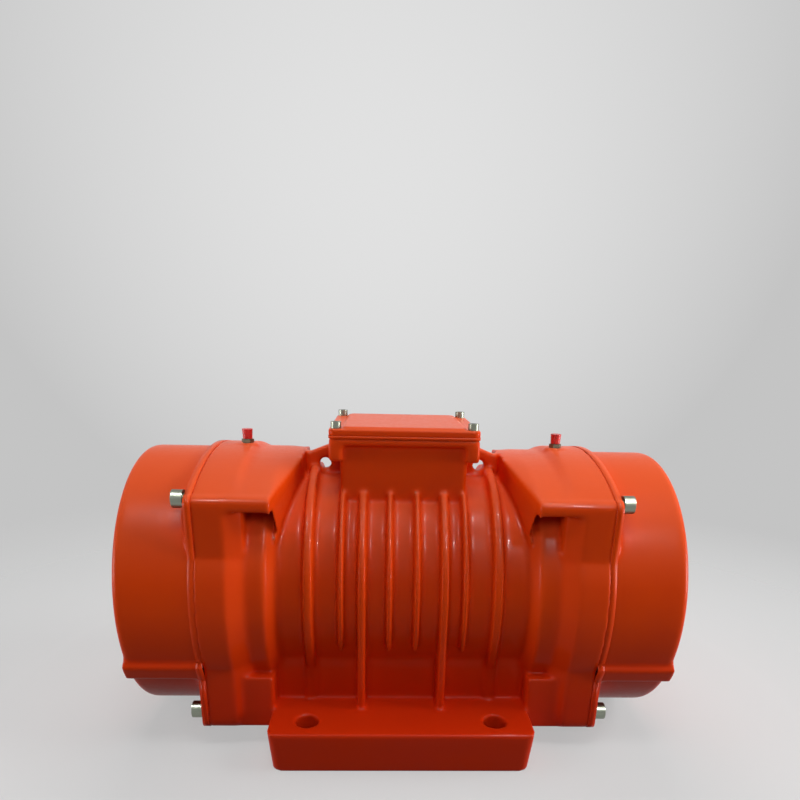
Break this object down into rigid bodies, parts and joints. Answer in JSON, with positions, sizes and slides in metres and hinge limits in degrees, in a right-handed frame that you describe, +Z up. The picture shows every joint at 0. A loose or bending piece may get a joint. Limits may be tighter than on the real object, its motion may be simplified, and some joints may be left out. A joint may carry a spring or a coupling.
{
  "type": "vibration motor",
  "caption": "Foot-mounted electric vibration motor: ribbed cast housing, terminal box, round end covers over eccentric weights on a through shaft.",
  "frame": {"origin": "on the mounting plane, under the centre of the housing", "axes": "+X along the shaft, +Y to the rear, the cable gland's side, +Z up from the feet"},
  "size_m": [0.53, 0.33, 0.3135],
  "materials": {
    "cast_paint": "thick gloss enamel on cast iron",
    "rubber_seal": "matt black rubber",
    "zinc_steel": "zinc plated",
    "machined_iron": "machined grey iron",
    "bearing_steel": "ground bearing steel",
    "brass": "machined brass",
    "laminated_steel": "stacked electrical steel",
    "copper_winding": "varnished copper coils",
    "cast_aluminium": "cast",
    "shaft_steel": "turned steel",
    "weight_iron": "flame-cut steel plate, grey primer",
    "moulded_block": "brown moulded thermoset",
    "gland_plastic": "black nylon",
    "nipple_steel": "dull plated steel",
    "red_plastic": "soft red plastic"
  },
  "bodies": {
    "housing": {"motor_housing": "cast_paint", "end_cover_left": "cast_paint", "end_cover_right": "cast_paint", "cover_seal_left": "rubber_seal", "cover_seal_right": "rubber_seal", "cover_bolts_left": "zinc_steel", "cover_bolts_right": "zinc_steel", "bearing_flange_left": "machined_iron", "bearing_flange_right": "machined_iron", "bearing_flange_bolts_left": "zinc_steel", "bearing_flange_bolts_right": "zinc_steel", "bearing_cap_left": "machined_iron", "bearing_cap_right": "machined_iron", "bearing_cap_bolts_left": "zinc_steel", "bearing_cap_bolts_right": "zinc_steel", "bearing_outer_ring_left": "bearing_steel", "bearing_outer_ring_right": "bearing_steel", "stator_core": "laminated_steel", "stator_windings": "copper_winding", "terminal_box_lid": "cast_paint", "lid_gasket": "rubber_seal", "lid_bolts": "zinc_steel", "terminal_block": "moulded_block", "terminal_studs": "brass", "terminal_nuts": "zinc_steel", "earth_screw": "zinc_steel", "gland_body": "gland_plastic", "gland_seal": "rubber_seal", "gland_nut": "gland_plastic", "grease_nipple_left": "nipple_steel", "grease_nipple_right": "nipple_steel"},
    "rotor": {"shaft": "shaft_steel", "rotor_core": "laminated_steel", "rotor_end_rings": "cast_aluminium", "weight_keys": "shaft_steel", "shaft_end_rings": "shaft_steel", "bearing_inner_ring_left": "bearing_steel", "bearing_inner_ring_right": "bearing_steel", "spacer_ring_left": "shaft_steel", "spacer_ring_right": "shaft_steel", "fixed_weight_left": "weight_iron", "fixed_weight_right": "weight_iron"},
    "adjustable_weight_left": {"adjustable_weight_left": "weight_iron", "clamp_bolt_left": "zinc_steel"},
    "roller_set_left": {"bearing_rollers_left": "bearing_steel", "bearing_cage_left": "brass"},
    "grease_cap_left": {"grease_cap_left": "red_plastic"},
    "adjustable_weight_right": {"adjustable_weight_right": "weight_iron", "clamp_bolt_right": "zinc_steel"},
    "roller_set_right": {"bearing_rollers_right": "bearing_steel", "bearing_cage_right": "brass"},
    "grease_cap_right": {"grease_cap_right": "red_plastic"}
  },
  "joints": [
    {"name": "rotor_spin", "type": "hinge", "parent": "housing", "child": "rotor", "pos_m": [0, 0, 0.143], "axis": [1, 0, 0], "continuous": true},
    {"name": "weight_setting_left", "type": "hinge", "parent": "rotor", "child": "adjustable_weight_left", "pos_m": [-0.223, 0, 0.143], "axis": [1, 0, 0], "range_deg": [0, 180]},
    {"name": "roller_orbit_left", "type": "hinge", "parent": "housing", "child": "roller_set_left", "pos_m": [-0.1515, 0, 0.143], "axis": [1, 0, 0], "continuous": true},
    {"name": "grease_cap_pull_left", "type": "slide", "parent": "housing", "child": "grease_cap_left", "axis": [0, 0, 1], "range_m": [0, 0.012]},
    {"name": "weight_setting_right", "type": "hinge", "parent": "rotor", "child": "adjustable_weight_right", "pos_m": [0.223, 0, 0.143], "axis": [1, 0, 0], "range_deg": [0, 180]},
    {"name": "roller_orbit_right", "type": "hinge", "parent": "housing", "child": "roller_set_right", "pos_m": [0.1515, 0, 0.143], "axis": [1, 0, 0], "continuous": true},
    {"name": "grease_cap_pull_right", "type": "slide", "parent": "housing", "child": "grease_cap_right", "axis": [0, 0, 1], "range_m": [0, 0.012]}
  ],
  "couplings": [
    {"joint": "roller_orbit_left", "follows": "rotor_spin", "ratio": 0.40286},
    {"joint": "roller_orbit_right", "follows": "rotor_spin", "ratio": 0.40286}
  ]
}
